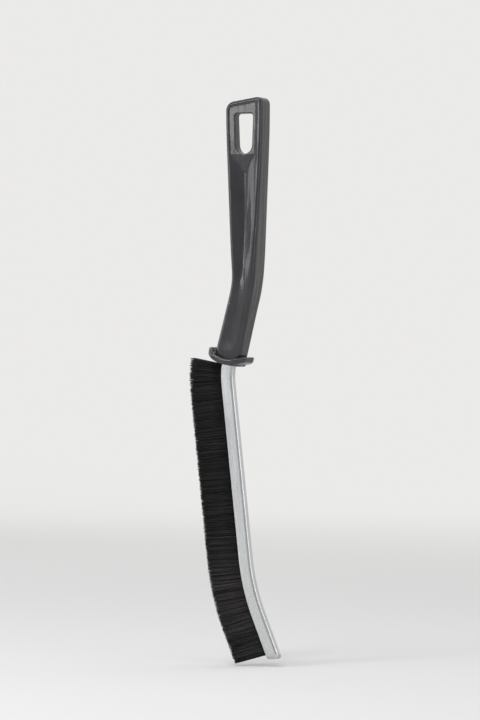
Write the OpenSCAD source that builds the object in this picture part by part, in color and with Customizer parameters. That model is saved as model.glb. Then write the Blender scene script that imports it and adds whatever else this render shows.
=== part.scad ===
// Crevice brush: a moulded handle with a hanging slot and a finger guard, on a bent metal strip
// that clenches one long row of stiff filaments.
// As hung: +Z up, bristles towards -X, strip's back towards +X, broad faces towards -Y and +Y.
// The origin is the middle of the slot's top seat, where a hook bears.

/* [Handle] */
// Length of the handle along its axis, from the butt to the underside of the guard
handle_l = 134; // [120:0.2:150]
// Width of the butt
butt_w = 20.8; // [18:0.2:24]
// Thickness of the butt
butt_t = 10.2; // [9:0.2:14]
// Radius of the two corners of the butt
butt_corner_r = 4; // [2.5:0.1:5]
// Slant of the butt's top edge, which rises to the back, in degrees
butt_slant = 8; // [0:0.5:12]
// Width of the grip
grip_w = 17.2; // [15:0.2:20]
// Thickness of the grip
grip_t = 11; // [10:0.2:15]
// Distance from the butt to where the grip is measured
grip_at = 52; // [45:1:60]
// Width of the shank, between the grip and the waist
shank_w = 14.6; // [13:0.2:16]
// Thickness of the shank
shank_t = 12.7; // [10:0.1:15]
// Distance from the butt to where the shank is measured
shank_at = 76; // [68:1:80]
// Width of the waist
waist_w = 12.6; // [11:0.2:15]
// Thickness of the waist
waist_t = 13; // [10:0.1:15]
// Distance from the butt to the waist
waist_at = 94; // [85:1:100]
// Width of the neck, where it meets the guard
neck_w = 14.4; // [12.8:0.2:17]
// Thickness of the neck, where it meets the guard
neck_t = 11.6; // [9:0.2:15]
// Radius along the edges of the butt and the grip
grip_edge_r = 1.6; // [1.2:0.1:2.2]
// Radius along the edges of the neck
neck_edge_r = 3; // [2:0.1:3.6]

/* [Neck bend] */
// Distance from the butt to where the axis starts to bend
bend_at = 84.4; // [78:0.2:92]
// Radius of the bend of the axis
bend_r = 58; // [55:1:90]
// Angle of the bend, towards the bristles, in degrees
bend = 14.7; // [5:0.1:20]

/* [Dished faces] */
// Thickness of the web at the floor of the dish
web_t = 5.2; // [3.6:0.2:7]
// Length of the slope from the rim at the butt down to the floor
dish_slope = 2.8; // [2:0.1:4]
// Share of the dish's width that is flat around the slot
floor_share = 0.66; // [0.5:0.02:0.74]
// Length over which the flat floor narrows to a valley, below the slot
floor_taper = 10; // [6:0.5:14]
// Distance from the butt to where the valley starts to run out
valley_fade_at = 58; // [46:1:62]
// Length over which the valley runs out towards the waist
valley_fade_l = 43; // [30:1:44]

/* [Hanging slot] */
// Height of the plastic above the slot
slot_bar = 7.2; // [6:0.2:9]
// Width of the slot at its top
slot_w = 10.2; // [8:0.2:11]
// Width of the slot at its rounded foot
slot_foot_w = 9; // [7:0.2:10]
// Height of the slot
slot_h = 20.2; // [15:0.2:26]
// Radius of the slot's top corners
slot_corner_r = 1.6; // [1:0.1:2.5]

/* [Finger guard] */
// Width of the guard, from its bristle end to its back end
guard_w = 21.4; // [19:0.2:26]
// Depth of the guard from its front to its rear
guard_d = 18.4; // [15.6:0.2:22]
// Corner radius of the guard
guard_r = 6; // [4:0.2:7]
// Height of the guard's rim
guard_t = 3.2; // [2.4:0.1:4]
// Thickness of the guard's floor
guard_floor = 1.6; // [1:0.1:2]
// Width of the rounded rim
rim_w = 1.6; // [1.2:0.1:1.8]
// How much higher the rim is at the two ends
guard_upturn = 3.8; // [0:0.1:4.4]
// Radius between the neck and the guard
neck_fillet = 1.2; // [0.6:0.1:1.4]

/* [Metal strip] */
// Thickness of the strip over its two walls
channel_t = 4.2; // [3.6:0.1:5.6]
// Height of the walls, from the middle of the core wire to the mouth
wall_h = 4.8; // [4:0.1:6]
// Thickness of the sheet
sheet_t = 0.5; // [0.4:0.05:0.7]
// How far each wall is pressed in at the mouth
crimp = 0.2; // [0:0.05:0.3]
// Height of the part of the wall that is pressed in
crimp_h = 1.6; // [1:0.1:2.4]
// Length of the tang, the straight part inside the handle
tang_l = 24; // [16:1:34]
// How far the middle of the tang lies behind the handle's axis
tang_shift = 0.4; // [0:0.1:1.4]
// Clearance around the tang in its socket
socket_clear = 0.1; // [0.05:0.05:0.2]
// How far above the guard's underside the strip starts to bend
heel_in = 1.6; // [0:0.1:1.6]
// Radius of the bend below the guard
heel_bend_r = 30; // [24:1:60]
// Angle of the bend below the guard, towards the back, in degrees
heel_turn = 21.1; // [10:0.1:28]
// Length of the straight run
run_l = 87.8; // [60:0.2:120]
// Radius of the bend above the toe
toe_bend_r = 104; // [60:1:140]
// Angle of the bend above the toe, towards the back, in degrees
toe_turn = 16.3; // [5:0.1:20]
// Length of the last run, from the bend to the toe
toe_l = 23.6; // [14:0.1:40]
// Angle between the end cut and a square cut, in degrees
toe_cut = 21; // [0:1:24]
// Radius of the corners of the end cut
toe_r = 2.2; // [0.8:0.1:2.6]

/* [Filaments] */
// Diameter of the core wire
wire_d = 1.4; // [1:0.1:1.6]
// Clearance of the folded filaments from the sheet and the wire
fold_clear = 0.05; // [0.03:0.01:0.1]
// Length of the bristles beyond the mouth
bristle_l = 18; // [12:0.2:24]
// Size of a strand across its corners at the root
strand_d = 0.66; // [0.5:0.02:0.7]
// Size of a strand at its tip, as a share of the root
tip_share = 0.6; // [0.4:0.05:0.9]
// Distance between the outer rows at the mouth
row_span = 2; // [1.6:0.1:2.2]
// How much wider the rows stand at the tips than at the mouth
tip_spread = 1.9; // [1:0.1:2.2]
// Lean of the bristles towards the handle at the guard, in degrees
heel_lean = 0; // [0:0.5:4]
// Lean of the bristles towards the handle at the toe, in degrees
toe_lean = 7; // [0:0.5:8]
// Difference in length between strands
trim_play = 0.9; // [0:0.1:1.5]
// Depth of a strand's root below the mouth
strand_root = 0.8; // [0.5:0.1:1.4]
// Gap between the guard and the first bunch
heel_gap = 0.6; // [0.4:0.1:2]

/* [Hidden] */
$fn = 64;

// Counts
bunches = 17;
strand_rows = 3;
strands_per_row = 8;
strand_sides = 3;
corner_steps = 3;
slot_steps = 8;
fold_steps = 11;
wire_sides = 12;
turn_step = 3;

// A small length that makes cuts pass their faces
past = 1;

plastic_colour = "#3b3d40";
metal_colour = "#c9cccd";
wire_colour = "#9a9da0";
bristle_colour = "#1f1f20";

// Smooth step from 0 at a to 1 at b
function fade(x, a, b) = let (t = min(1, max(0, (x - a) / (b - a)))) t * t * (3 - 2 * t);

// Smooth curve through the rows of a list, whose column 0 is the distance and column c the value
function row_at(list, x, i = 0) = i >= len(list) - 2 || x < list[i + 1][0] ? i : row_at(list, x, i + 1);
function slope_at(list, c, i) = i == 0 || i == len(list) - 1
    ? 0
    : (list[i + 1][c] - list[i - 1][c]) / (list[i + 1][0] - list[i - 1][0]);
function through(list, c, x) = let (
    i = row_at(list, x),
    h = list[i + 1][0] - list[i][0],
    t = min(1, max(0, (x - list[i][0]) / h))
)
    (2 * t ^ 3 - 3 * t ^ 2 + 1) * list[i][c]
    + (t ^ 3 - 2 * t ^ 2 + t) * h * slope_at(list, c, i)
    + (3 * t ^ 2 - 2 * t ^ 3) * list[i + 1][c]
    + (t ^ 3 - t ^ 2) * h * slope_at(list, c, i + 1);

// In a frame turned by the angle a, "across" points to the back of the brush and "up" to the butt
function across(a) = [cos(a), 0, sin(a)];
function up(a) = [-sin(a), 0, cos(a)];

// The handle's axis: straight, an arc, then straight again; s runs from the butt to the guard
bend_l = bend_r * bend * PI / 180;
function axis_turn(s) = -min(bend, max(0, (s - bend_at) / bend_r * 180 / PI));
function axis_point(s) = let (
    a = axis_turn(s),
    beyond = max(0, s - bend_at - bend_l)
)
    [0, 0, slot_bar - min(s, bend_at)]
    + bend_r * [cos(a) - 1, 0, sin(a)]
    - beyond * up(a);

// Half width, half thickness and edge radius along the handle
stations = [
    [0, butt_w / 2, butt_t / 2, grip_edge_r],
    [slot_bar + slot_h / 2, butt_w / 2 - 0.2, butt_t / 2, grip_edge_r],
    [grip_at, grip_w / 2, grip_t / 2, grip_edge_r],
    [shank_at, shank_w / 2, shank_t / 2, (grip_edge_r * 2 + neck_edge_r) / 3],
    [waist_at, waist_w / 2, waist_t / 2, (grip_edge_r + neck_edge_r) / 2],
    [handle_l, neck_w / 2, neck_t / 2, neck_edge_r]
];
slot_foot = slot_bar + slot_h;
function dish_depth(s) = (through(stations, 2, s) - web_t / 2)
    * fade(s, grip_edge_r, grip_edge_r + dish_slope)
    * (1 - fade(s, valley_fade_at, valley_fade_at + valley_fade_l));
function dish_floor(s) = floor_share * (1 - fade(s, slot_foot - 1, slot_foot - 1 + floor_taper));

// Depth of the dish across a face, as a share: 1 on the floor, 0 on the crest of the rim
function dish_shape(x, floor) = let (t = min(1, max(0, (x - floor) / (1 - floor))))
    ((1 - t) + (1 + cos(180 * t)) / 2) / 2;

// Where the points of a face lie, as shares of its half width: close together on the slope of the rim
function face_shares(floor) = let (from = max(0.12, floor))
    [for (t = [0, 0.22, 0.5, 0.78, 1]) from + (1 - from) * t];
function face_points(fw, t, depth, floor) = let (half = face_shares(floor), last = len(half) - 1) [
    for (k = concat([for (j = [last:-1:0]) -half[j]], [0], half))
        [k * fw, -t + depth * dish_shape(abs(k), floor)]
];
function corner_points(fw, ft, r) = [
    for (j = [1:corner_steps]) let (a = 90 * j / corner_steps - 90)
        [fw + r * cos(a), -ft + r * sin(a)]
];

// One section, counted round from the front face to the back side, the rear face and the bristle side
function section(w, t, r, depth, floor) = let (
    face = face_points(w - r, t, depth, floor),
    corner = corner_points(w - r, t - r, r),
    turned = [for (j = [corner_steps - 1:-1:0]) [corner[j][0], -corner[j][1]]],
    half = concat(face, corner, turned)
)
    concat(half, -half);

// A section set square to the axis at s and tilted by a further angle, its ends raised by lift
function ring(s, w, t, r, depth = 0, floor = 0, tilt = 0, lift = 0) = let (a = axis_turn(s) + tilt)
    [for (p = section(w, t, r, depth, floor))
        axis_point(s) + p[0] * across(a) + [0, p[1], 0]
        + lift * (p[0] / (guard_w / 2)) ^ 2 * up(a)];

// Rings of the rounded butt, where d is the distance below its top edge
butt_ring_steps = 5;
function butt_ring(d) = let (
    corner_in = butt_corner_r - d,
    edge_in = max(0, grip_edge_r - d)
)
    ring(
        d,
        through(stations, 1, d) - butt_corner_r + sqrt(butt_corner_r ^ 2 - corner_in ^ 2),
        through(stations, 2, d) - grip_edge_r + sqrt(grip_edge_r ^ 2 - edge_in ^ 2),
        grip_edge_r, dish_depth(d), dish_floor(d), butt_slant
    );

// Rings of the grip, the waist and the neck
body_from = butt_corner_r;
body_to = handle_l - guard_floor - neck_fillet;
body_rings = 28;
slant_fade_l = 14;
function body_ring(s) = ring(
    s, through(stations, 1, s), through(stations, 2, s), through(stations, 3, s),
    dish_depth(s), dish_floor(s),
    butt_slant * (1 - fade(s, body_from, body_from + slant_fade_l))
);

// Rings of the guard: growth beyond the neck, height above the underside, and share of the lift
guard_top = handle_l - guard_t;
rim_r = rim_w / 2;
function guard_ring(inset, height, lift_share) = let (w = guard_w / 2 - inset, t = guard_d / 2 - inset)
    ring(handle_l - height, w, t, guard_r - inset, lift = lift_share * guard_upturn);
function fillet_ring(a) = let (g = neck_fillet * (1 - cos(a)))
    ring(body_to + neck_fillet * sin(a), neck_w / 2 + g, neck_t / 2 + g, neck_edge_r + g);

handle_rings = concat(
    [for (j = [0:butt_ring_steps - 1]) butt_ring(butt_corner_r * (1 - cos(90 * j / butt_ring_steps)))],
    [for (j = [0:body_rings]) body_ring(body_from + (body_to - body_from) * (j / body_rings) ^ 1.25)],
    [fillet_ring(30), fillet_ring(60), fillet_ring(90)],
    [
        guard_ring(rim_w + 0.4, guard_floor, 0.2),
        guard_ring(rim_w * 0.8, guard_t - rim_r * 0.6, 0.9),
        guard_ring(rim_r, guard_t, 1),
        guard_ring(rim_r * 0.3, guard_t - rim_r * 0.3, 1),
        guard_ring(0, guard_t - rim_r, 0.95),
        guard_ring(0, rim_r, 0.85),
        guard_ring(rim_r * 0.3, rim_r * 0.3, 0.8),
        guard_ring(rim_r, 0, 0.8),
        guard_ring(rim_w * 2, 0, 0.6)
    ]
);

// Solid through a list of rings of n points; a ring's point k faces its point n - 1 - k across the solid
module loft(rings) {
    n = len(rings[0]);
    last = (len(rings) - 1) * n;
    cap = n == 3 ? [[0, 1, 2]] : [
        for (k = [0:n / 2 - 2]) each [[k, k + 1, n - 2 - k], [k, n - 2 - k, n - 1 - k]]
    ];
    polyhedron(
        points = [for (r = rings) each r],
        faces = concat(
            [for (f = cap) [f[0], f[2], f[1]]],
            [for (k = [0:len(rings) - 2]) for (i = [0:n - 1]) each
                let (a = k * n + i, b = k * n + (i + 1) % n) [[a, b, b + n], [a, b + n, a + n]]],
            [for (f = cap) [last + f[0], last + f[1], last + f[2]]]
        )
    );
}

// Outline of the slot, with its top edge at the origin
module slot_outline() {
    top_r = slot_corner_r;
    foot_r = slot_foot_w / 2;
    top_c = [slot_w / 2 - top_r, -top_r];
    foot_c = [0, foot_r - slot_h];
    taper = atan((slot_w - slot_foot_w) / 2 / (slot_h - foot_r));
    function turn(c, r, from, to) = [
        for (j = [0:slot_steps]) let (a = from + (to - from) * j / slot_steps) c + r * [cos(a), sin(a)]
    ];
    right = concat(turn(top_c, top_r, 90, -taper), turn(foot_c, foot_r, -taper, -90));
    polygon(concat(right, [for (i = [len(right) - 2:-1:0]) [-right[i][0], right[i][1]]]));
}

// The strip's path is the middle of its core wire; u runs from the tang's top to the toe
guard_under = axis_point(handle_l);
back_r = channel_t / 2;
core_shift = tang_shift + (wall_h - back_r) / 2;
tang_top = guard_under + core_shift * across(-bend) + (tang_l + heel_in) * up(-bend);
// Each run: length, radius and turn; a straight run has no turn
runs = [
    [tang_l, 0, 0],
    [heel_bend_r * heel_turn * PI / 180, heel_bend_r, heel_turn],
    [run_l, 0, 0],
    [toe_bend_r * toe_turn * PI / 180, toe_bend_r, toe_turn],
    [toe_l, 0, 0]
];
toe_run = len(runs) - 1;
function run_from(i) = i == 0 ? 0 : run_from(i - 1) + runs[i - 1][0];
function run_heading(i) = i == 0 ? -bend : run_heading(i - 1) + runs[i - 1][2];
function heading_in(i, d) = run_heading(i) + (runs[i][2] == 0 ? 0 : d / runs[i][1] * 180 / PI);
function point_in(i, d) = let (a = run_heading(i), b = heading_in(i, d))
    run_start(i) + (runs[i][2] == 0 ? -d * up(a) : runs[i][1] * (across(a) - across(b)));
function run_start(i) = i == 0 ? tang_top : point_in(i - 1, runs[i - 1][0]);
function run_at(u, i = 0) = i >= toe_run || u < run_from(i + 1) ? i : run_at(u, i + 1);
strip_l = run_from(toe_run) + toe_l;

// Sets its children on the path at u, with X across the strip and Z up along it
module on_strip(u) {
    i = run_at(u);
    translate(point_in(i, u - run_from(i))) rotate([0, -heading_in(i, u - run_from(i)), 0]) children();
}

// A point of a profile set on the path at u; its X is across the strip and its Y is the thickness
function on_path(u, p) = let (i = run_at(u), d = u - run_from(i))
    point_in(i, d) + p[0] * across(heading_in(i, d)) + [0, p[1], 0];

// Rings stand at the ends of each run and every few degrees of a bend
path_stops = [
    for (i = [0:toe_run]) let (steps = max(1, ceil(runs[i][2] / turn_step))) each
        [for (j = [0:steps - 1]) run_from(i) + runs[i][0] * j / steps]
];
function stops_between(u0, u1) = concat(
    [u0],
    [for (u = path_stops) if (u > u0 + 0.05 && u < u1 - 0.05) u],
    [u1]
);
function sweep_rings(u0, u1, profile) = [
    for (u = stops_between(u0, u1)) [for (p = profile) on_path(u, p)]
];

// Half of a folded U from its mouth at -h to its round back, then the same mirrored
function fold_path(half_t, h, press, press_h) = let (
    lip = [for (x = [0, 0.15, 0.5]) [x * toe_r - h, press * (1 - x * toe_r / press_h) - half_t]],
    wall = concat(lip, [[press_h - h, -half_t]])
)
    concat(
        wall,
        [for (j = [0:fold_steps]) let (a = 180 * j / fold_steps - 90) half_t * [cos(a), sin(a)]],
        [for (j = [len(wall) - 1:-1:0]) [wall[j][0], -wall[j][1]]]
    );

channel_profile = let (
    outer = fold_path(back_r, wall_h, crimp, crimp_h),
    inner = fold_path(back_r - sheet_t, wall_h, crimp, crimp_h)
)
    concat(outer, [for (j = [len(inner) - 1:-1:0]) inner[j]]);

// The folded filaments fill the channel around the core wire
backing_profile = fold_path(back_r - sheet_t - fold_clear, wall_h, crimp, crimp_h);
function wire_profile(r) = [
    for (j = [0:wire_sides - 1]) let (a = 360 * (j + 0.5) / wire_sides) r * [cos(a), sin(a)]
];

// Distance along the last run at which the end cut stands, x across the strip: a slant, rounded at both ends
function cut_line(x) = toe_l + x * tan(toe_cut);
function cut_at(x) = let (
    mouth_x = toe_r - wall_h,
    heel_x = back_r - toe_r,
    reach = toe_r * sin(toe_cut),
    c = x < mouth_x - reach ? mouth_x : x > heel_x - reach ? heel_x : undef
)
    is_undef(c) ? cut_line(x)
        : cut_line(c) - toe_r / cos(toe_cut) + sqrt(max(0, toe_r ^ 2 - (x - c) ^ 2));

module handle() {
    color(plastic_colour)
        difference() {
            loft(handle_rings);
            rotate([90, 0, 0]) linear_extrude(butt_t + 2 * past, center = true) slot_outline();
            socket();
        }
}

// The space for the tang, open through the underside of the guard
module socket() {
    clear = socket_clear;
    out = tang_l + heel_in + past;
    loft(sweep_rings(-clear, out, fold_path(back_r + clear, wall_h + clear, crimp, crimp_h)));
}

module channel() {
    color(metal_colour)
        loft(concat(
            sweep_rings(0, run_from(toe_run), channel_profile),
            [[for (p = channel_profile) on_path(run_from(toe_run) + cut_at(p[0]), p)]]
        ));
}

module core_wire() {
    color(wire_colour) loft(sweep_rings(past, strip_l - toe_r, wire_profile(wire_d / 2)));
}

// The bunches share the length from the guard to the mouth's end at the toe
bunch_from = tang_l + heel_in + heel_gap;
bunch_to = strip_l - wall_h * tan(toe_cut) - toe_r;
bunch_l = (bunch_to - bunch_from) / bunches;
strand_pitch = bunch_l / strands_per_row;
strand_r = strand_d / 2;

// An even scatter from -0.5 to 0.5
function scatter(k) = let (v = sin(k * 127.1) * 437.585) v - floor(v) - 0.5;
function lean_at(u) = heel_lean + (toe_lean - heel_lean) * ((u - bunch_from) / (bunch_to - bunch_from)) ^ 2;

// One strand, from its root inside the fold to its tip: a tapered prism that fans out from its row
module strand(y, lean, l) {
    out = [-cos(lean), 0, sin(lean)];
    over = [sin(lean), 0, cos(lean)];
    stops = [[-strand_root, 1], [l, tip_share]];
    function centre(q) = [-wall_h, y * (1 + (tip_spread - 1) * max(0, q) / bristle_l), 0] + q * out;
    loft([
        for (stop = stops) [
            for (j = [0:strand_sides - 1]) let (a = -360 * j / strand_sides)
                centre(stop[0]) + strand_r * stop[1] * (cos(a) * over + [0, sin(a), 0])
        ]
    ]);
}

module bristle_bunch(i) {
    from = bunch_from + (i - 1) * bunch_l;
    color(bristle_colour) {
        difference() {
            loft(sweep_rings(from, from + bunch_l, backing_profile));
            loft(sweep_rings(from - past, from + bunch_l + past, wire_profile(wire_d / 2 + fold_clear)));
        }
        for (row = [0:strand_rows - 1]) {
            y = row_span * (row / (strand_rows - 1) - 0.5);
            for (j = [0:strands_per_row - 1]) {
                k = (i * strand_rows + row) * strands_per_row + j;
                u = from + strand_pitch * (j + 0.3 + 0.4 * (row % 2));
                on_strip(u) strand(y, lean_at(u), bristle_l + trim_play * scatter(k));
            }
        }
    }
}

handle();
channel();
core_wire();
bristle_bunch(1);  // bristle_bunch_01
bristle_bunch(2);  // bristle_bunch_02
bristle_bunch(3);  // bristle_bunch_03
bristle_bunch(4);  // bristle_bunch_04
bristle_bunch(5);  // bristle_bunch_05
bristle_bunch(6);  // bristle_bunch_06
bristle_bunch(7);  // bristle_bunch_07
bristle_bunch(8);  // bristle_bunch_08
bristle_bunch(9);  // bristle_bunch_09
bristle_bunch(10);  // bristle_bunch_10
bristle_bunch(11);  // bristle_bunch_11
bristle_bunch(12);  // bristle_bunch_12
bristle_bunch(13);  // bristle_bunch_13
bristle_bunch(14);  // bristle_bunch_14
bristle_bunch(15);  // bristle_bunch_15
bristle_bunch(16);  // bristle_bunch_16
bristle_bunch(17);  // bristle_bunch_17
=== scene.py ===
"""Looks of the crevice brush: moulded handle, bent metal channel, core wire and dense filaments."""

import math

import bpy
import numpy as np
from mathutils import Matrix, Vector


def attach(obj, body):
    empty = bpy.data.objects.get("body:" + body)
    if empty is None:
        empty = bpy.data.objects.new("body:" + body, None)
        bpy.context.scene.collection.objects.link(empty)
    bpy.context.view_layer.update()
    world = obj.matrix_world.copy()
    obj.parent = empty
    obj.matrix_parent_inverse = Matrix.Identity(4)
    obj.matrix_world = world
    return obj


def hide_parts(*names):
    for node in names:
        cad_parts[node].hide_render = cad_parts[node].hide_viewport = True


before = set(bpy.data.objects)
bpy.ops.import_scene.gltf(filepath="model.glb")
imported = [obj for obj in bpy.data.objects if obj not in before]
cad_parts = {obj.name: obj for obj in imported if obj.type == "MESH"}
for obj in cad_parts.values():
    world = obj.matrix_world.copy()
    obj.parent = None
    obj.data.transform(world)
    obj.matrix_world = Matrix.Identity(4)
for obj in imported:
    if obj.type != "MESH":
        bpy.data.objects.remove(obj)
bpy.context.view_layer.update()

MM = 0.001

# Sizes in millimetres, as in the CAD source
HANDLE_L = 134.0
BUTT_CORNER_R = 4.0
EDGE_R = 1.6
BUTT_SLANT = math.radians(8)
BEND_AT = 84.4
BEND_R = 58.0
BEND = math.radians(14.7)
WEB_T = 5.2
FLOOR_SHARE = 0.66
FLOOR_TAPER = 10.0
FADE_AT = 58.0
FADE_L = 43.0
SLOT_BAR = 7.2
SLOT_W = 10.2
SLOT_FOOT_W = 9.0
SLOT_H = 20.2
SLOT_CORNER_R = 1.6
GUARD_W = 21.4
GUARD_D = 18.4
GUARD_R = 6.0
GUARD_T = 3.2
GUARD_FLOOR = 1.6
RIM_W = 1.6
GUARD_UPTURN = 3.8
NECK_FILLET = 1.2
CHANNEL_T = 4.2
WALL_H = 4.8
SHEET_T = 0.5
CRIMP = 0.2
CRIMP_H = 1.6
TANG_L = 24.0
HEEL_IN = 1.6
TANG_SHIFT = 0.4
SOCKET_CLEAR = 0.1
HEEL_BEND_R = 30.0
HEEL_TURN = math.radians(21.1)
RUN_L = 87.8
TOE_BEND_R = 104.0
TOE_TURN = math.radians(16.3)
TOE_L = 23.6
TOE_CUT = math.radians(21)
TOE_R = 2.2
WIRE_D = 1.4
BRISTLE_L = 18.0
HEEL_GAP = 0.6
HEEL_LEAN = math.radians(0)
TOE_LEAN = math.radians(7)
BUNCHES = 17

# Finer forms of the looks: how far the ground round the slot lies above the web's place in the solids,
# the ramp from it into the valley, and the shallow crease that runs on down the neck
PAD_LIFT = 2.05
RAMP_FROM, RAMP_L = 0.3, 9.2
STEEP_SIDE, STEEP_ABOVE, STEEP_BELOW = 3.0, 2.0, 4.0
REAR_RAMP_L = 12.0
NECK_CREASE = 0.6
CREASE_ENDS = (120.0, 131.0)
TAPER_ABOVE = 1.0
LEAST_SLOPE_W = 0.5
# Over what length the butt's slant eases off, and how far short of the guard's foot the grip stops
SLANT_L = 14.0
BODY_SHORT = 0.4
# The guard's share of the solids' upturn, and how far past the rim's width its inner slope runs
UPTURN_SHARE = 0.9
RIM_SLOPE = 0.6
# Rounded edges of the slot, the guard's slab and rim, and the socket
SLOT_ROUND, SLAB_ROUND, RIM_ROUND, SOCKET_ROUND = 0.55, 0.65, 1.0, 0.25
HANDLE_LOW, HANDLE_HIGH, HANDLE_STEP = (-34, -9.6, -131), (12, 9.6, 9.6), 0.33
# Channel: how far along the walls its points lie, how the sheet's edge is rounded and how much of it
# stays flat, and the last stretches of its mesh and grain
LIP = (0, 0.12, 0.35, 0.7, 1.1, 1.45, 1.6, 1.75, 2.6, 3.6, 4.4)
LIP_ROUND, LIP_FLAT = 0.1, 0.6
ARC_STEPS = 25
CHANNEL_STEP = 1.2
TOE_ZONE, TOE_GRAIN = 5.0, 3.0
WIRE_FROM, WIRE_SIDES = 1, 24
# Filaments of one slice; levels are shares of the length with shares of the thickness
STRANDS = 380
STRAND_SIDES = 3
SIDE_TURN, FULL_TURN = 2.0944, 6.28
ROOT_DEPTH = 0.9
STRAND_LEVELS = ((0.4, 1.0), (0.8, 0.9), (1.0, 0.62))
STRAND_R, STRAND_R_MORE = 0.15, 0.05
LEAN_SPREAD = 0.9  # degrees
UNEVEN = 0.42
SWAY = 0.16
FAN, FAN_SPREAD = 0.75, 0.12
END_ZONE = 2.0
MOUTH_CLEAR = 0.2
FOLD_CLEAR = 0.05
BACKING_IN = 0.25
BACKING_LIP, BACKING_STEPS = (0, 0.8, 1.6), 13
BACKING_TONE = 0.3
TUFT_TONE, STRAY_TONE = 0.22, 0.12
# The paler stretch of the row towards its toe and one pale streak: middle and width as shares of the row
PALER_AT, PALER_SPREAD, PALER_TONE = 0.82, 0.17, 0.9
STREAK_AT, STREAK_SPREAD, STREAK_TONE = 0.885, 0.006, 0.5
SEED = 7

# Half width, half thickness and edge radius along the handle, from the butt
STATIONS = np.array([
    [0, 10.4, 5.1, EDGE_R],
    [SLOT_BAR + SLOT_H / 2, 10.2, 5.1, EDGE_R],
    [52, 8.6, 5.5, EDGE_R],
    [76, 7.3, 6.35, 2.07],
    [94, 6.3, 6.5, 2.3],
    [HANDLE_L, 7.2, 5.8, 3.0],
])


def fade(x, a, b):
    """Smooth step from 0 at a to 1 at b."""
    t = np.clip((x - a) / (b - a), 0, 1)
    return t * t * (3 - 2 * t)


def through(column, x):
    """Smooth curve through a column of STATIONS."""
    s, v = STATIONS[:, 0], STATIONS[:, column]
    slope = np.zeros(len(s))
    slope[1:-1] = (v[2:] - v[:-2]) / (s[2:] - s[:-2])
    i = np.clip(np.searchsorted(s, x, side="right") - 1, 0, len(s) - 2)
    h = s[i + 1] - s[i]
    t = np.clip((x - s[i]) / h, 0, 1)
    return (
        (2 * t**3 - 3 * t**2 + 1) * v[i]
        + (t**3 - 2 * t**2 + t) * h * slope[i]
        + (3 * t**2 - 2 * t**3) * v[i + 1]
        + (t**3 - t**2) * h * slope[i + 1]
    )


# Solids are given as distances, negative inside

def rounded_and(a, b, r):
    """Common part of two solids, its edge rounded by r."""
    return np.minimum(-r, np.maximum(a, b)) + np.hypot(np.maximum(a + r, 0), np.maximum(b + r, 0))


def filleted_or(a, b, r):
    """Two solids joined with a fillet of radius r."""
    return np.maximum(r, np.minimum(a, b)) - np.hypot(np.maximum(r - a, 0), np.maximum(r - b, 0))


def rounded_corner(a, b):
    """Distance past a corner whose sides are at the distances a and b."""
    return np.hypot(np.maximum(a, 0), np.maximum(b, 0)) + np.minimum(np.maximum(a, b), 0)


def along_axis(x, z):
    """Distance down the handle's bent axis, and the offset across it."""
    z0 = SLOT_BAR - BEND_AT
    turn = np.arctan2(z - z0, x + BEND_R)
    bent_s = BEND_AT - turn * BEND_R
    bent_x = np.hypot(x + BEND_R, z - z0) - BEND_R
    end_x = BEND_R * (math.cos(BEND) - 1)
    end_z = z0 - BEND_R * math.sin(BEND)
    dx, dz = x - end_x, z - end_z
    low_s = BEND_AT + BEND_R * BEND - dx * math.sin(BEND) - dz * math.cos(BEND)
    low_x = dx * math.cos(BEND) - dz * math.sin(BEND)
    s = np.where(z > z0, SLOT_BAR - z, np.where(turn > -BEND, bent_s, low_s))
    return s, np.where(z > z0, x, np.where(turn > -BEND, bent_x, low_x))


def slot_distance(x, z):
    """Distance from the wall of the hanging slot, negative in the slot."""
    foot_r = SLOT_FOOT_W / 2
    foot_z = foot_r - SLOT_H
    lean = math.atan((SLOT_W - SLOT_FOOT_W) / 2 / (SLOT_H - foot_r))
    r = SLOT_CORNER_R
    side = (np.abs(x) - SLOT_W / 2 - (z + r) * math.tan(lean)) * math.cos(lean)
    upper = rounded_corner(side + r, z + r) - r
    lower = np.hypot(x, z - foot_z) - foot_r
    return np.where(z > foot_z, upper, lower)


def slope_shape(q):
    """Share of the depth at a share q of the way from the crest to the valley."""
    q = np.clip(q, 0, 1)
    return (q + (1 - np.cos(np.pi * q)) / 2) / 2


def lesser(a, b, soft=0.2):
    """The smaller of two depths, with the crease between them softened."""
    return (a + b - np.sqrt((a - b) ** 2 + soft**2)) / 2


def dish(s, inward, across, w, t, front):
    """Depth of the dished face where the outline is a distance inward away."""
    slot_foot = SLOT_BAR + SLOT_H
    run_out = fade(s, FADE_AT, FADE_AT + FADE_L)
    depth = (t - WEB_T / 2) * (1 - run_out) + NECK_CREASE * run_out * (1 - fade(s, *CREASE_ENDS))
    fw = w - EDGE_R
    # On the front, a pad round the slot lies near the rim, with a ramp from it into the valley
    pad = depth - PAD_LIFT * (1 - np.clip((s - slot_foot - RAMP_FROM) / RAMP_L, 0, 1))
    steep = 1 + STEEP_SIDE * (1 - fade(s, slot_foot - STEEP_ABOVE, slot_foot + STEEP_BELOW))
    left = depth * slope_shape(steep * (inward - EDGE_R) / fw)
    right = depth * slope_shape((w - across - EDGE_R) / fw)
    faced = lesser(lesser(left, right), pad)
    # On the rear, the web lies that much deeper
    taper_at = slot_foot - TAPER_ABOVE
    floor = FLOOR_SHARE * (1 - fade(s, taper_at, taper_at + FLOOR_TAPER))
    rear = depth + PAD_LIFT * (1 - fade(s, slot_foot, slot_foot + REAR_RAMP_L))
    rear = rear * slope_shape((inward - EDGE_R) / np.maximum(fw * (1 - floor), LEAST_SLOPE_W))
    return np.maximum(np.where(front, faced, rear), 0)


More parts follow.
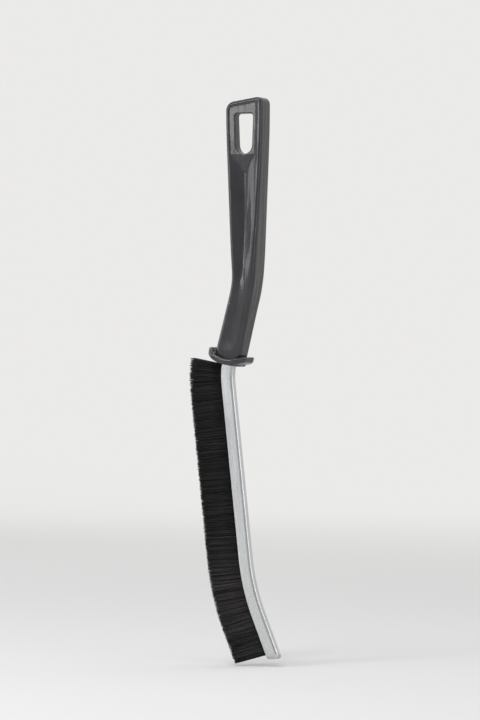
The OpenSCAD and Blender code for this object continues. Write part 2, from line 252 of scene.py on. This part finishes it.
def socket_distance(x, y, z):
    """Distance from the wall of the tang's socket, negative in the socket."""
    dx, dz = x - TANG_TOP[0], z - TANG_TOP[1]
    across = dx * math.cos(BEND) - dz * math.sin(BEND)
    down = -dx * math.sin(BEND) - dz * math.cos(BEND)
    half = CHANNEL_T / 2 + SOCKET_CLEAR
    back = np.hypot(np.maximum(across, 0), y) - half
    wall = np.maximum(np.abs(y) - half, -across - WALL_H - SOCKET_CLEAR)
    return np.maximum(np.where(across > 0, back, wall), -down - SOCKET_CLEAR)


def handle_distance(x, y, z):
    """The handle's surface is where this is nought."""
    s, across = along_axis(x, z)
    w, t, r = (through(c, s) for c in (1, 2, 3))
    tilt = BUTT_SLANT * (1 - fade(s, BUTT_CORNER_R, BUTT_CORNER_R + SLANT_L))
    end = (-s - across * np.tan(tilt)) * np.cos(tilt)
    rc = BUTT_CORNER_R
    qx, qs = np.abs(across) - w + rc, end + rc
    outline = rounded_corner(qx, qs) - rc
    face = np.abs(y) + dish(s, -outline, across, w, t, y < 0) - t
    body = np.hypot(np.maximum(outline + r, 0), np.maximum(face + r, 0))
    body = body + np.minimum(np.maximum(outline, face) + r, 0) - r
    body = rounded_and(body, -slot_distance(x, z), SLOT_ROUND)
    body = np.maximum(body, s - HANDLE_L + BODY_SHORT)
    # The guard: a slab with a raised rim, lifted towards its two ends
    height = HANDLE_L - s - UPTURN_SHARE * GUARD_UPTURN * (across / (GUARD_W / 2)) ** 2
    gx, gy = np.abs(across) - GUARD_W / 2 + GUARD_R, np.abs(y) - GUARD_D / 2 + GUARD_R
    rim = rounded_corner(gx, gy) - GUARD_R
    top = GUARD_FLOOR + (GUARD_T - GUARD_FLOOR) * fade(-rim, RIM_W + RIM_SLOPE, RIM_W / 2)
    slab = rounded_and(-height, height - top, SLAB_ROUND)
    guard = rounded_and(rim, slab, RIM_ROUND)
    whole = filleted_or(body, guard, NECK_FILLET)
    return rounded_and(whole, -socket_distance(x, y, z), SOCKET_ROUND)


def surface_mesh(name, distance, low, high, step):
    """Closed mesh of quads where distance is nought, each vertex set on the surface itself."""
    layers, rounds, reach, probe, flattest = 48, 4, 0.4, 0.02, 0.25
    axes = [np.arange(a, b + step, step) for a, b in zip(low, high)]
    grid = np.meshgrid(*axes, indexing="ij")
    value = np.empty(grid[0].shape)
    for i in range(0, value.shape[2], layers):
        part = slice(i, i + layers)
        value[:, :, part] = distance(*(g[:, :, part] for g in grid))
    inside = value < 0
    shape = tuple(n - 1 for n in value.shape)
    # One vertex in each cell that the surface crosses, at the mean of the crossings on its edges
    total, hits = np.zeros(shape + (3,)), np.zeros(shape)
    ends = (slice(None, -1), slice(1, None))
    for axis in range(3):
        for a in (0, 1):
            for b in (0, 1):
                cut = [ends[a], ends[b]]
                cut.insert(axis, ends[0])
                past = list(cut)
                past[axis] = ends[1]
                v0, v1 = value[tuple(cut)], value[tuple(past)]
                crossed = inside[tuple(cut)] != inside[tuple(past)]
                share = np.where(crossed, v0 / np.where(crossed, v0 - v1, 1), 0)
                spot = np.zeros(shape + (3,))
                others = [k for k in range(3) if k != axis]
                spot[..., axis], spot[..., others[0]], spot[..., others[1]] = share, a, b
                total += spot * crossed[..., None]
                hits += crossed
    active = hits > 0
    index = np.full(shape, -1)
    index[active] = np.arange(active.sum())
    corner = np.argwhere(active)
    points = np.array([ax[0] for ax in axes]) + step * (corner + total[active] / hits[active][:, None])
    # One quad round each grid edge that the surface crosses
    faces = []
    for axis in range(3):
        turn = [(axis + k) % 3 for k in range(3)]
        ins, idx = inside.transpose(turn), index.transpose(turn)
        a, b = ins[:-1, 1:-1, 1:-1], ins[1:, 1:-1, 1:-1]
        for rising in (True, False):
            i, j, k = np.nonzero((a != b) & (a == rising))
            quad = [idx[i, j, k], idx[i, j + 1, k], idx[i, j + 1, k + 1], idx[i, j, k + 1]]
            faces.append(np.stack(quad if rising else quad[::-1], axis=1))
    faces = np.concatenate(faces)
    # Each vertex steps along the slope onto the surface
    small = step * probe
    for _ in range(rounds):
        here = distance(*points.T)
        slope = np.stack([
            (distance(*(points + small * np.eye(3)[k]).T) - here) / small for k in range(3)
        ], axis=1)
        move = -(here / np.maximum((slope**2).sum(1), flattest))[:, None] * slope
        size = np.linalg.norm(move, axis=1, keepdims=True)
        points += move * np.minimum(1, step * reach / np.maximum(size, 1e-9))
    return mesh_object(name, points, faces.tolist())


def mesh_object(name, points, faces):
    """Smooth-shaded object from points in millimetres."""
    mesh = bpy.data.meshes.new(name)
    mesh.from_pydata((np.asarray(points) * MM).tolist(), [], faces)
    mesh.validate()
    mesh.shade_smooth()
    obj = bpy.data.objects.new(name, mesh)
    bpy.context.scene.collection.objects.link(obj)
    return obj


# The strip's path is the middle of its core wire; points are (x, z) in millimetres

def axis_end():
    """Foot of the handle's axis, under the guard."""
    end_x = BEND_R * (math.cos(BEND) - 1)
    end_z = SLOT_BAR - BEND_AT - BEND_R * math.sin(BEND)
    rest = HANDLE_L - BEND_AT - BEND_R * BEND
    return np.array([end_x - rest * math.sin(BEND), end_z - rest * math.cos(BEND)])


def across_dir(a):
    """Way across the strip, towards its back, at the heading a."""
    return np.array([math.cos(a), math.sin(a)])


def up_dir(a):
    """Way up the strip at the heading a."""
    return np.array([-math.sin(a), math.cos(a)])


CORE_SHIFT = TANG_SHIFT + (WALL_H - CHANNEL_T / 2) / 2
TANG_TOP = axis_end() + CORE_SHIFT * across_dir(-BEND) + (TANG_L + HEEL_IN) * up_dir(-BEND)
# Length, radius and turn of each run
RUNS = [
    (TANG_L, 0, 0),
    (HEEL_BEND_R * HEEL_TURN, HEEL_BEND_R, HEEL_TURN),
    (RUN_L, 0, 0),
    (TOE_BEND_R * TOE_TURN, TOE_BEND_R, TOE_TURN),
    (TOE_L, 0, 0),
]


def run_starts():
    """Distance, point and heading where each run starts, and the whole length."""
    starts, u, p, a = [], 0.0, TANG_TOP, -BEND
    for length, r, turn in RUNS:
        starts.append((u, p, a))
        if turn:
            p = p + r * (across_dir(a) - across_dir(a + turn))
        else:
            p = p - length * up_dir(a)
        u, a = u + length, a + turn
    return starts, u


STARTS, STRIP_L = run_starts()


def path(u):
    """Point and heading of the path at the distance u."""
    i = max(k for k, s in enumerate(STARTS) if u >= s[0] or k == 0)
    u0, p, a = STARTS[i]
    r, turn = RUNS[i][1:]
    if not turn:
        return p - (u - u0) * up_dir(a), a
    b = a + (u - u0) / r
    return p + r * (across_dir(a) - across_dir(b)), b


def on_path(u, px, py):
    """Place of a profile's point (across, thickness) set on the path at u."""
    p, a = path(u)
    q = p + px * across_dir(a)
    return [q[0], py, q[1]]


def stops_between(u0, u1, step=1.5):
    """Distances from u0 to u1, a step apart in the bends and six steps apart where it is straight."""
    near = 0.02
    stops = [u0]
    for (start, _, _), (length, _, turn) in zip(STARTS, RUNS):
        n = max(1, math.ceil(length / (step if turn else step * 6)))
        stops += [start + length * k / n for k in range(n)]
    return [u0] + sorted(u for u in set(stops) if u0 + near < u < u1 - near) + [u1]


def tube_faces(rings, n, caps):
    """Faces of a tube of rings of n points; its ends are one face each, or a ladder of quads."""
    faces = []
    for k in range(rings - 1):
        for i in range(n):
            a, b = k * n + i, k * n + (i + 1) % n
            faces.append((a, b, b + n, a + n))
    if caps == "fan":
        faces.append(tuple(range(n))[::-1])
        last = (rings - 1) * n
        faces.append(tuple(last + i for i in range(n)))
    if caps == "ladder":
        last = (rings - 1) * n
        for k in range(n // 2 - 1):
            quad = (k, k + 1, n - 2 - k, n - 1 - k)
            faces.append(quad[::-1])
            faces.append(tuple(last + i for i in quad))
    return faces


def fold_path(half_t, h, steps, lip):
    """Half-round back and two straight walls, from one mouth edge to the other."""
    front = [[x - h, CRIMP * max(0, 1 - x / CRIMP_H) - half_t] for x in lip]
    arc = [
        [half_t * math.cos(a), half_t * math.sin(a)]
        for a in np.linspace(-math.pi / 2, math.pi / 2, steps)
    ]
    return front + arc + [[x, -y] for x, y in front[::-1]]


def toe_end(x):
    """Length of the last run where the end cut meets the profile's x."""
    line = RUNS[-1][0] + x * math.tan(TOE_CUT)
    mouth, heel, reach = TOE_R - WALL_H, CHANNEL_T / 2 - TOE_R, TOE_R * math.sin(TOE_CUT)
    c = mouth if x < mouth - reach else heel if x > heel - reach else None
    if c is None:
        return line
    at_c = RUNS[-1][0] + c * math.tan(TOE_CUT)
    return at_c - TOE_R / math.cos(TOE_CUT) + math.sqrt(max(0, TOE_R**2 - (x - c) ** 2))


def make_channel():
    """The folded sheet, its walls pressed in at the mouth and its toe cut on the slant."""
    half = CHANNEL_T / 2
    outer = fold_path(half, WALL_H, ARC_STEPS, LIP)
    inner = fold_path(half - SHEET_T, WALL_H, ARC_STEPS, LIP)[::-1]
    # The sheet's edge is rounded at the mouth
    r = SHEET_T / 2
    mid = half - CRIMP - r
    for p in (outer[0], outer[-1], inner[0], inner[-1]):
        p[0] += LIP_ROUND
    rear = [[-WALL_H, mid + side * r * LIP_FLAT] for side in (1, -1)]
    front = [[x, -y] for x, y in rear[::-1]]
    profile = [front[1]] + outer + rear + inner + [front[0]]
    n = len(profile)
    stops = stops_between(0, STARTS[-1][0] + RUNS[-1][0] - TOE_ZONE, CHANNEL_STEP)
    points = [on_path(u, x, y) for u in stops for x, y in profile]
    for share in (0.5, 1.0):
        for x, y in profile:
            end = STARTS[-1][0] + toe_end(x)
            points.append(on_path(stops[-1] + (end - stops[-1]) * share, x, y))
    obj = mesh_object("channel_strip", points, tube_faces(len(stops) + 2, n, "ladder"))
    # Place round the profile and along the strip, for the grain
    downs = stops + [STRIP_L - TOE_GRAIN, STRIP_L]
    along = [(x * MM, y * MM, u * MM) for u in downs for x, y in profile]
    where = obj.data.attributes.new("along", "FLOAT_VECTOR", "POINT")
    where.data.foreach_set("vector", np.array(along, np.float32).ravel())
    return obj


def make_wire():
    """The round wire in the fold, up to the toe's corner."""
    turn = np.linspace(0, 2 * math.pi, WIRE_SIDES + 1)[:-1]
    ring = [[WIRE_D / 2 * math.cos(a), WIRE_D / 2 * math.sin(a)] for a in turn]
    stops = stops_between(WIRE_FROM, STRIP_L - TOE_R)
    points = [on_path(u, x, y) for u in stops for x, y in ring]
    return mesh_object("core_wire_round", points, tube_faces(len(stops), WIRE_SIDES, "fan"))


BUNCH_FROM = TANG_L + HEEL_IN + HEEL_GAP
BUNCH_TO = STRIP_L - WALL_H * math.tan(TOE_CUT) - TOE_R
BUNCH_L = (BUNCH_TO - BUNCH_FROM) / BUNCHES


def lean_at(u):
    """Lean of the filaments towards the toe at the distance u."""
    return HEEL_LEAN + (TOE_LEAN - HEEL_LEAN) * ((u - BUNCH_FROM) / (BUNCH_TO - BUNCH_FROM)) ** 2


def bell(x, middle, spread):
    """Bell curve, 1 at the middle."""
    return math.exp(-(((x - middle) / spread) ** 2))


def make_bunch(i, rng):
    """One slice of the row: filaments that rise from the fold and fan out a little."""
    start = BUNCH_FROM + (i - 1) * BUNCH_L
    points, faces, tones = [], [], []
    half = CHANNEL_T / 2 - SHEET_T - CRIMP - MOUTH_CLEAR
    # The folded part, under the mouth
    fold = CHANNEL_T / 2 - SHEET_T - FOLD_CLEAR
    backing = fold_path(fold, WALL_H - BACKING_IN, BACKING_STEPS, BACKING_LIP)
    stops = stops_between(start, start + BUNCH_L)
    for u in stops:
        points += [on_path(u, x, y) for x, y in backing]
    tones += [BACKING_TONE] * len(points)
    faces += tube_faces(len(stops), len(backing), "fan")
    rings = len(STRAND_LEVELS) + 1
    for k in range(STRANDS):
        u = start + BUNCH_L * (k + rng.random()) / STRANDS
        y = half * (2 * rng.random() - 1)
        # Strands at the ends of the row keep to its straight edges
        loose = min(1, (u - BUNCH_FROM) / END_ZONE, (BUNCH_TO - u) / END_ZONE)
        lean = lean_at(u) + loose * math.radians(rng.normal(0, LEAN_SPREAD))
        length = BRISTLE_L + UNEVEN * (2 * rng.random() - 1) * rng.random() ** 0.5
        width = STRAND_R + STRAND_R_MORE * rng.random()
        spread = y * FAN + rng.normal(0, FAN_SPREAD)
        sway = loose * rng.normal(0, SWAY)
        spin = rng.random() * FULL_TURN
        p, a = path(u)
        out = -across_dir(a) * math.cos(lean) + up_dir(a) * math.sin(lean)
        over = across_dir(a) * math.sin(lean) + up_dir(a) * math.cos(lean)
        root = p - WALL_H * across_dir(a)
        base = len(points)
        levels = [(-ROOT_DEPTH, 1.0)] + [(length * part, fat) for part, fat in STRAND_LEVELS]
        for q, fat in levels:
            f = max(0, q) / length
            c = root + q * out + sway * f * f * over
            yc = y + spread * f
            d = width * fat
            for j in range(STRAND_SIDES):
                b = spin + SIDE_TURN * j
                aside = d * math.cos(b)
                points.append([c[0] + aside * over[0], yc + d * math.sin(b), c[1] + aside * over[1]])
        # Tufts of one tone, the row paler towards its toe end
        tuft = 0.5 + 0.28 * math.sin(u * 2.9 + 3 * math.sin(u * 0.61)) + 0.2 * math.sin(u * 7.7 + 1.3)
        share = (u - BUNCH_FROM) / (BUNCH_TO - BUNCH_FROM)
        pale = PALER_TONE * bell(share, PALER_AT, PALER_SPREAD) * tuft
        pale += STREAK_TONE * bell(share, STREAK_AT, STREAK_SPREAD)
        tone = TUFT_TONE * tuft * rng.random() + STRAY_TONE * rng.random() ** 3
        tone += pale * (0.3 + 0.7 * rng.random())
        tones += [tone] * (rings * STRAND_SIDES)
        for f in tube_faces(rings, STRAND_SIDES, "fan"):
            faces.append(tuple(base + v for v in f))
    obj = mesh_object(f"filaments_{i:02d}", points, faces)
    layer = obj.data.attributes.new("tone", "FLOAT", "POINT")
    layer.data.foreach_set("value", np.array(tones, np.float32))
    return obj


# Materials

def new_material(name):
    """Material with its nodes, links and main shader."""
    mat = bpy.data.materials.new(name)
    mat.use_nodes = True
    nodes, links = mat.node_tree.nodes, mat.node_tree.links
    return mat, nodes, links, nodes["Principled BSDF"]


def noise(nodes, links, scale, detail=3.0, stretch=(1, 1, 1), attribute=None):
    """Noise in object space, or along a mesh's own coordinates kept in an attribute."""
    if attribute:
        coords = nodes.new("ShaderNodeAttribute")
        coords.attribute_name = attribute
        where = coords.outputs["Vector"]
    else:
        where = nodes.new("ShaderNodeTexCoord").outputs["Object"]
    tex = nodes.new("ShaderNodeTexNoise")
    tex.inputs["Scale"].default_value = scale
    tex.inputs["Detail"].default_value = detail
    mapping = nodes.new("ShaderNodeMapping")
    mapping.inputs["Scale"].default_value = stretch
    links.new(where, mapping.inputs["Vector"])
    links.new(mapping.outputs["Vector"], tex.inputs["Vector"])
    return tex


def ramp(nodes, links, source, *stops):
    """Colour ramp over a source; each stop is its place and its colour."""
    node = nodes.new("ShaderNodeValToRGB")
    elements = node.color_ramp.elements
    for k, (place, colour) in enumerate((stops[0], stops[-1])):
        elements[k].position, elements[k].color = place, (*colour, 1)
    for place, colour in stops[1:-1]:
        elements.new(place).color = (*colour, 1)
    links.new(source, node.inputs["Fac"])
    return node.outputs["Color"]


def greys(low, high):
    """Two stops of a ramp that gives plain values."""
    return (low[0], (low[1],) * 3), (high[0], (high[1],) * 3)


def calc(nodes, links, operation, *values):
    """Math node; each value is a number or the output that feeds it."""
    node = nodes.new("ShaderNodeMath")
    node.operation = operation
    for socket, value in zip(node.inputs, values):
        if isinstance(value, bpy.types.NodeSocket):
            links.new(value, socket)
        else:
            socket.default_value = value
    return node.outputs["Value"]


def spread_out(nodes, links, source, low, high, most=1.0, way="LINEAR"):
    """The source from low to high, mapped from 0 to the most."""
    node = nodes.new("ShaderNodeMapRange")
    node.interpolation_type = way
    node.inputs["From Min"].default_value, node.inputs["From Max"].default_value = low, high
    node.inputs["To Max"].default_value = most
    links.new(source, node.inputs["Value"])
    return node.outputs["Result"]


def bump(nodes, links, height, strength, distance, under=None):
    """Normal bent by a height, on top of another bump where one is given."""
    node = nodes.new("ShaderNodeBump")
    node.inputs["Strength"].default_value = strength
    node.inputs["Distance"].default_value = distance
    links.new(height, node.inputs["Height"])
    if under:
        links.new(under, node.inputs["Normal"])
    return node.outputs["Normal"]


def plastic():
    """Dark moulded plastic, a little glossy."""
    mat, nodes, links, shader = new_material("moulded_plastic")
    cloud = noise(nodes, links, 60, 4).outputs["Fac"]
    # Painted highlight: the convex edges are tinted paler in the base colour, standing in for the thin
    # highlight lines along the crests
    pointy = nodes.new("ShaderNodeNewGeometry").outputs["Pointiness"]
    painted_edge_highlight = spread_out(nodes, links, pointy, 0.528, 0.57, 0.55)
    tint = ramp(
        nodes, links, calc(nodes, links, "MULTIPLY_ADD", cloud, 0.5, painted_edge_highlight),
        (0.15, (0.026, 0.026, 0.0285)), (0.36, (0.036, 0.036, 0.04)), (1.0, (0.2, 0.2, 0.21)),
    )
    links.new(tint, shader.inputs["Base Color"])
    smear = noise(nodes, links, 220, 3).outputs["Fac"]
    links.new(ramp(nodes, links, smear, *greys((0.35, 0.13), (0.7, 0.21))), shader.inputs["Roughness"])
    shader.inputs["IOR"].default_value = 1.5
    # Long, shallow flow marks of the moulding, and a fine grain
    flow = noise(nodes, links, 360, 2, (1, 1, 0.07)).outputs["Fac"]
    grain = noise(nodes, links, 2600, 2).outputs["Fac"]
    marks = bump(nodes, links, flow, 0.8, 0.0004)
    links.new(bump(nodes, links, grain, 0.12, 0.00006, marks), shader.inputs["Normal"])
    return mat


def steel():
    """Satin steel, its grain along the strip."""
    mat, nodes, links, shader = new_material("satin_steel")
    shader.inputs["Metallic"].default_value = 1.0
    grain = noise(nodes, links, 1400, 3, (1, 1, 0.03), "along").outputs["Fac"]
    cloud = noise(nodes, links, 120, 3, (1, 1, 0.4), "along").outputs["Fac"]
    tint = ramp(nodes, links, cloud, (0.3, (0.56, 0.57, 0.568)), (0.7, (0.63, 0.64, 0.645)))
    links.new(tint, shader.inputs["Base Color"])
    links.new(ramp(nodes, links, grain, *greys((0.3, 0.2), (0.7, 0.31))), shader.inputs["Roughness"])
    links.new(bump(nodes, links, grain, 0.1, 0.00008), shader.inputs["Normal"])
    return mat


def wire_metal():
    """Plain drawn wire."""
    mat, nodes, links, shader = new_material("drawn_wire")
    shader.inputs["Metallic"].default_value = 1.0
    grain = noise(nodes, links, 1500, 2).outputs["Fac"]
    links.new(ramp(nodes, links, grain, *greys((0.3, 0.5), (0.7, 0.62))), shader.inputs["Base Color"])
    shader.inputs["Roughness"].default_value = 0.35
    return mat


def filament():
    """Black filament, paler where the mesh's tone is higher."""
    mat, nodes, links, shader = new_material("black_filament")
    tone = nodes.new("ShaderNodeAttribute")
    tone.attribute_name = "tone"
    tint = ramp(
        nodes, links, tone.outputs["Fac"], (0.0, (0.0035, 0.0034, 0.0036)), (1.0, (0.078, 0.07, 0.073))
    )
    links.new(tint, shader.inputs["Base Color"])
    shader.inputs["Roughness"].default_value = 0.45
    shader.inputs["Specular IOR Level"].default_value = 0.22
    return mat


def dress(obj, mat, slot, *replaced):
    """Gives an object its material and its place in the frame."""
    obj.data.materials.clear()
    obj.data.materials.append(mat)
    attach(obj, "root")
    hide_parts(*replaced)


handle = surface_mesh("handle_moulding", handle_distance, HANDLE_LOW, HANDLE_HIGH, HANDLE_STEP)
dress(handle, plastic(), "handle_plastic", "handle")
dress(make_channel(), steel(), "channel_steel", "channel")
dress(make_wire(), wire_metal(), "wire_steel", "core_wire")
black = filament()
rng = np.random.default_rng(SEED)
for number in range(1, BUNCHES + 1):
    dress(make_bunch(number, rng), black, "filament", f"bristle_bunch_{number:02d}")

# Camera: level, turned to the photograph's angle

YAW = math.radians(28)
DISTANCE = 2.0
MM_PER_PX = 0.502
FRAME_W, FRAME_H = 480, 720
# Where the part's origin lies in the picture
ORIGIN_COLUMN, ORIGIN_ROW = 248, 114
SENSOR = 36
right = Vector((math.cos(YAW), math.sin(YAW), 0))
back = Vector((math.sin(YAW), -math.cos(YAW), 0))
cam = bpy.data.cameras.new("camera")
cam.sensor_width = SENSOR
cam.lens = DISTANCE / (MM_PER_PX * MM) * SENSOR / FRAME_H
camera = bpy.data.objects.new("camera", cam)
camera.location = (
    right * (FRAME_W / 2 - ORIGIN_COLUMN) * MM_PER_PX * MM
    + back * DISTANCE
    + Vector((0, 0, -(FRAME_H / 2 - ORIGIN_ROW) * MM_PER_PX * MM))
)
camera.rotation_mode = "QUATERNION"
camera.rotation_quaternion = (-back).to_track_quat("-Z", "Y")
cam.clip_end = 20
bpy.context.scene.collection.objects.link(camera)
bpy.context.scene.camera = camera


# Floor and backdrop in one sweep, in metres

FLOOR_Z, FLOOR_FRONT, WALL_Y, WALL_TOP, HALF_WIDTH, SWEEP_R = -0.277, -12.0, 3.2, 3.0, 6.0, 1.2


def cove_material():
    """Pale floor whose far part looks an even off-white."""
    mat, nodes, links, shader = new_material("pale_cove")
    shader.inputs["Roughness"].default_value = 0.9
    shader.inputs["Specular IOR Level"].default_value = 0.0
    # The upright part is a little paler than the floor, which the lamps reach better
    where = nodes.new("ShaderNodeNewGeometry")
    normal, place = (nodes.new("ShaderNodeSeparateXYZ") for _ in range(2))
    links.new(where.outputs["Normal"], normal.inputs["Vector"])
    links.new(where.outputs["Position"], place.inputs["Vector"])
    tint = ramp(nodes, links, normal.outputs["Z"], (0.0, (0.9, 0.895, 0.88)), (1.0, (0.76, 0.755, 0.745)))
    links.new(tint, shader.inputs["Base Color"])
    # Rays that see the far part meet an even off-white; the floor round the object keeps its shadow
    rays = nodes.new("ShaderNodeLightPath")
    seen = rays.outputs["Is Camera Ray"]
    for name in ("Is Glossy Ray", "Is Transmission Ray"):
        seen = calc(nodes, links, "MAXIMUM", seen, rays.outputs[name])
    far = spread_out(nodes, links, place.outputs["Y"], 0.3, 2.0, way="SMOOTHSTEP")
    pale = nodes.new("ShaderNodeEmission")
    pale.inputs["Color"].default_value = (0.83, 0.825, 0.81, 1)
    mix = nodes.new("ShaderNodeMixShader")
    links.new(calc(nodes, links, "MULTIPLY", seen, far), mix.inputs["Fac"])
    links.new(shader.outputs["BSDF"], mix.inputs[1])
    links.new(pale.outputs["Emission"], mix.inputs[2])
    links.new(mix.outputs["Shader"], nodes["Material Output"].inputs["Surface"])
    return mat


def make_cove():
    """Flat floor that sweeps up into an upright wall."""
    mid_y, mid_z = WALL_Y - SWEEP_R, FLOOR_Z + SWEEP_R
    line = [(FLOOR_FRONT, FLOOR_Z), (mid_y, FLOOR_Z)]
    for a in np.linspace(0.1, math.pi / 2, 16):
        line.append((mid_y + SWEEP_R * math.sin(a), mid_z - SWEEP_R * math.cos(a)))
    line += [(WALL_Y, WALL_TOP)]
    points = [p for y, z in line for p in ((-HALF_WIDTH, y, z), (HALF_WIDTH, y, z))]
    faces = [(2 * k, 2 * k + 1, 2 * k + 3, 2 * k + 2) for k in range(len(line) - 1)]
    mesh = bpy.data.meshes.new("cove")
    mesh.from_pydata(points, [], faces)
    mesh.shade_smooth()
    obj = bpy.data.objects.new("cove", mesh)
    obj.rotation_euler = (0, 0, YAW)
    bpy.context.scene.collection.objects.link(obj)
    mesh.materials.append(cove_material())


make_cove()

LAMP_AIM = Vector((0, 0, -0.13))


def area_light(name, azimuth, elevation, distance, size, power):
    """Soft lamp aimed at the brush; azimuth 0 is in front of it, 90 on its back's side."""
    a, e = math.radians(azimuth), math.radians(elevation)
    way = Vector((math.sin(a) * math.cos(e), -math.cos(a) * math.cos(e), math.sin(e)))
    light = bpy.data.lights.new(name, "AREA")
    light.shape, light.size, light.energy = "RECTANGLE", size[0], power
    light.size_y = size[1]
    obj = bpy.data.objects.new(name, light)
    obj.location = LAMP_AIM + way * distance
    obj.rotation_mode = "QUATERNION"
    obj.rotation_quaternion = way.to_track_quat("Z", "Y")
    obj.visible_camera = False
    bpy.context.scene.collection.objects.link(obj)


area_light("key", -30, 20, 0.95, (0.34, 0.36), 2.1)
area_light("left", -76, 15, 1.1, (0.45, 0.56), 1.3)
area_light("rim", -118, 17, 1.2, (0.9, 0.6), 0.8)
area_light("right", 58, 12, 1.3, (0.16, 0.7), 1.1)
area_light("top", 0, 58, 1.1, (0.3, 0.26), 2.4)

# Even grey room, darker in front of the brush
DARK_SIDE = math.radians(18)
world = bpy.data.worlds.new("room")
bpy.context.scene.world = world
world.use_nodes = True
nodes, links = world.node_tree.nodes, world.node_tree.links
toward = nodes.new("ShaderNodeTexCoord")
facing = nodes.new("ShaderNodeVectorMath")
facing.operation = "DOT_PRODUCT"
facing.inputs[1].default_value = (math.sin(DARK_SIDE), -math.cos(DARK_SIDE), 0)
links.new(toward.outputs["Generated"], facing.inputs[0])
room = ramp(nodes, links, facing.outputs["Value"], (0.78, (0.8, 0.805, 0.82)), (0.95, (0.38, 0.38, 0.39)))
links.new(room, nodes["Background"].inputs["Color"])
nodes["Background"].inputs["Strength"].default_value = 1.0

bpy.context.scene.view_settings.view_transform = "Standard"
